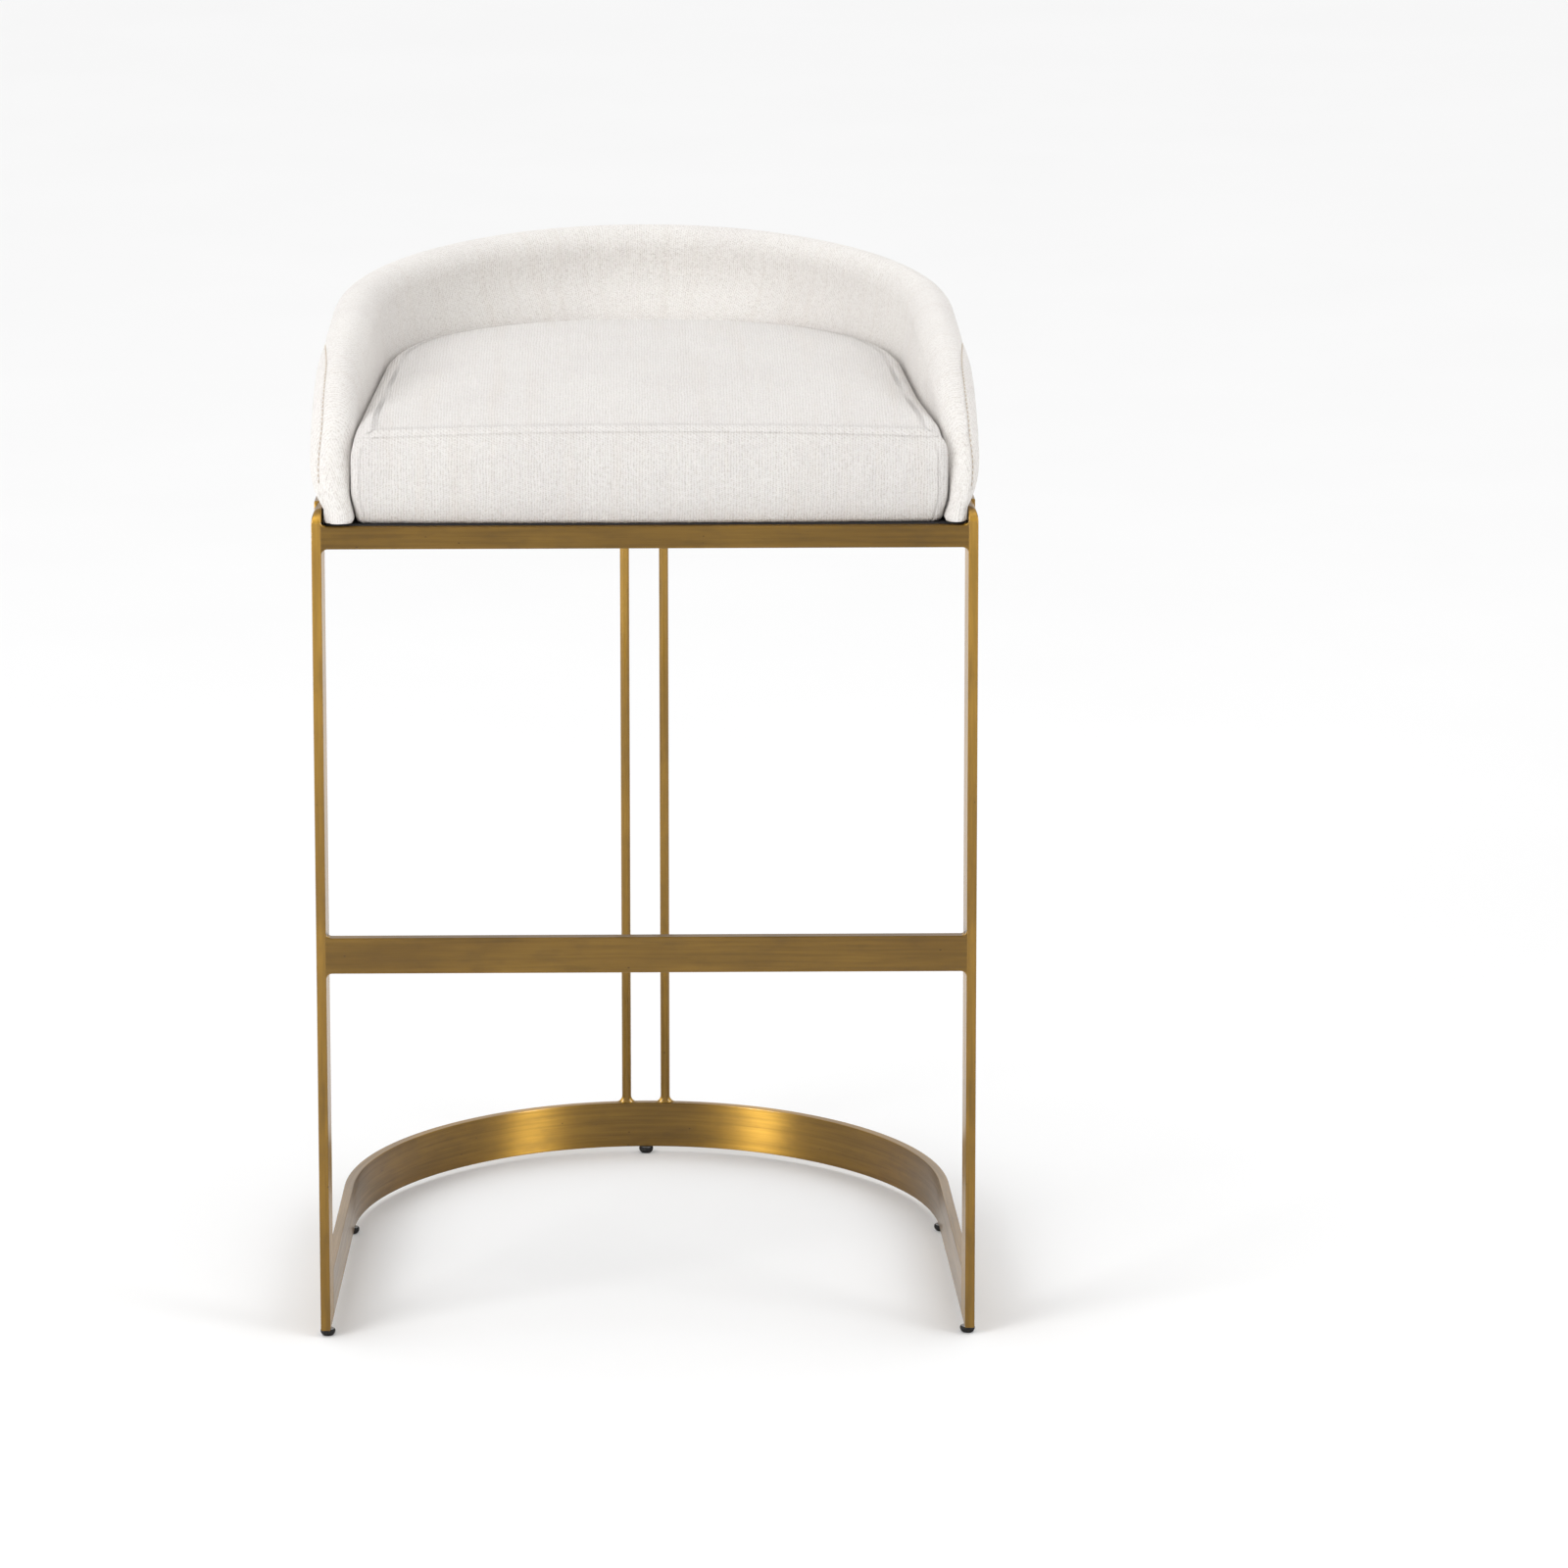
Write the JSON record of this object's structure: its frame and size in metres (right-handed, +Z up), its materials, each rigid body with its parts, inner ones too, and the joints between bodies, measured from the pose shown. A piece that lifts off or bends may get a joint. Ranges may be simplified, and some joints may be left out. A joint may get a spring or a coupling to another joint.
{
  "type": "bar stool",
  "caption": "Bar stool: brass-finished flat-bar sled frame with a footrest, a cream box cushion and a low wrap-round padded back with arms.",
  "frame": {"origin": "on the floor, at the middle of the bounding box's bottom", "axes": "+Z up, +Y towards the back of the seat, +X to the right as seen by someone who faces the stool's front"},
  "size_m": [0.5412, 0.5613, 0.834],
  "materials": {
    "brass": "brushed antique brass, satin lacquered",
    "steel": "zinc plated",
    "black_plastic": "matte moulded",
    "plywood": "unfinished birch plywood",
    "stained_plywood": "black-stained plywood",
    "foam": "open-cell polyurethane foam",
    "cream_fabric": "textured woven upholstery",
    "black_cloth": "spun-bonded lining"
  },
  "bodies": {
    "stool": {"base_band": "brass", "left_leg": "brass", "right_leg": "brass", "footrest_bar": "brass", "front_rail": "brass", "seat_band": "brass", "left_rear_rod": "brass", "right_rear_rod": "brass", "front_seat_strap": "steel", "rear_seat_strap": "steel", "dust_cloth": "black_cloth", "seat_board": "stained_plywood", "seat_foam": "foam", "seat_cover": "cream_fabric", "front_left_seat_screw": "steel", "front_left_tee_nut": "steel", "front_right_seat_screw": "steel", "front_right_tee_nut": "steel", "rear_left_seat_screw": "steel", "rear_left_tee_nut": "steel", "rear_right_seat_screw": "steel", "rear_right_tee_nut": "steel", "back_core": "plywood", "back_padding": "foam", "back_cover": "cream_fabric", "arm_left_back_screw": "steel", "arm_right_back_screw": "steel", "shoulder_left_back_screw": "steel", "shoulder_right_back_screw": "steel", "rear_back_screw": "steel"},
    "front_left_glide": {"front_left_glide_pad": "black_plastic", "front_left_glide_stud": "steel"},
    "front_right_glide": {"front_right_glide_pad": "black_plastic", "front_right_glide_stud": "steel"},
    "middle_left_glide": {"middle_left_glide_pad": "black_plastic", "middle_left_glide_stud": "steel"},
    "middle_right_glide": {"middle_right_glide_pad": "black_plastic", "middle_right_glide_stud": "steel"},
    "rear_glide": {"rear_glide_pad": "black_plastic", "rear_glide_stud": "steel"}
  },
  "joints": [
    {"name": "front_left_glide_screw", "type": "slide", "parent": "stool", "child": "front_left_glide", "axis": [0, 0, -1], "range_m": [0, 0.005]},
    {"name": "front_right_glide_screw", "type": "slide", "parent": "stool", "child": "front_right_glide", "axis": [0, 0, -1], "range_m": [0, 0.005]},
    {"name": "middle_left_glide_screw", "type": "slide", "parent": "stool", "child": "middle_left_glide", "axis": [0, 0, -1], "range_m": [0, 0.005]},
    {"name": "middle_right_glide_screw", "type": "slide", "parent": "stool", "child": "middle_right_glide", "axis": [0, 0, -1], "range_m": [0, 0.005]},
    {"name": "rear_glide_screw", "type": "slide", "parent": "stool", "child": "rear_glide", "axis": [0, 0, -1], "range_m": [0, 0.005]}
  ]
}
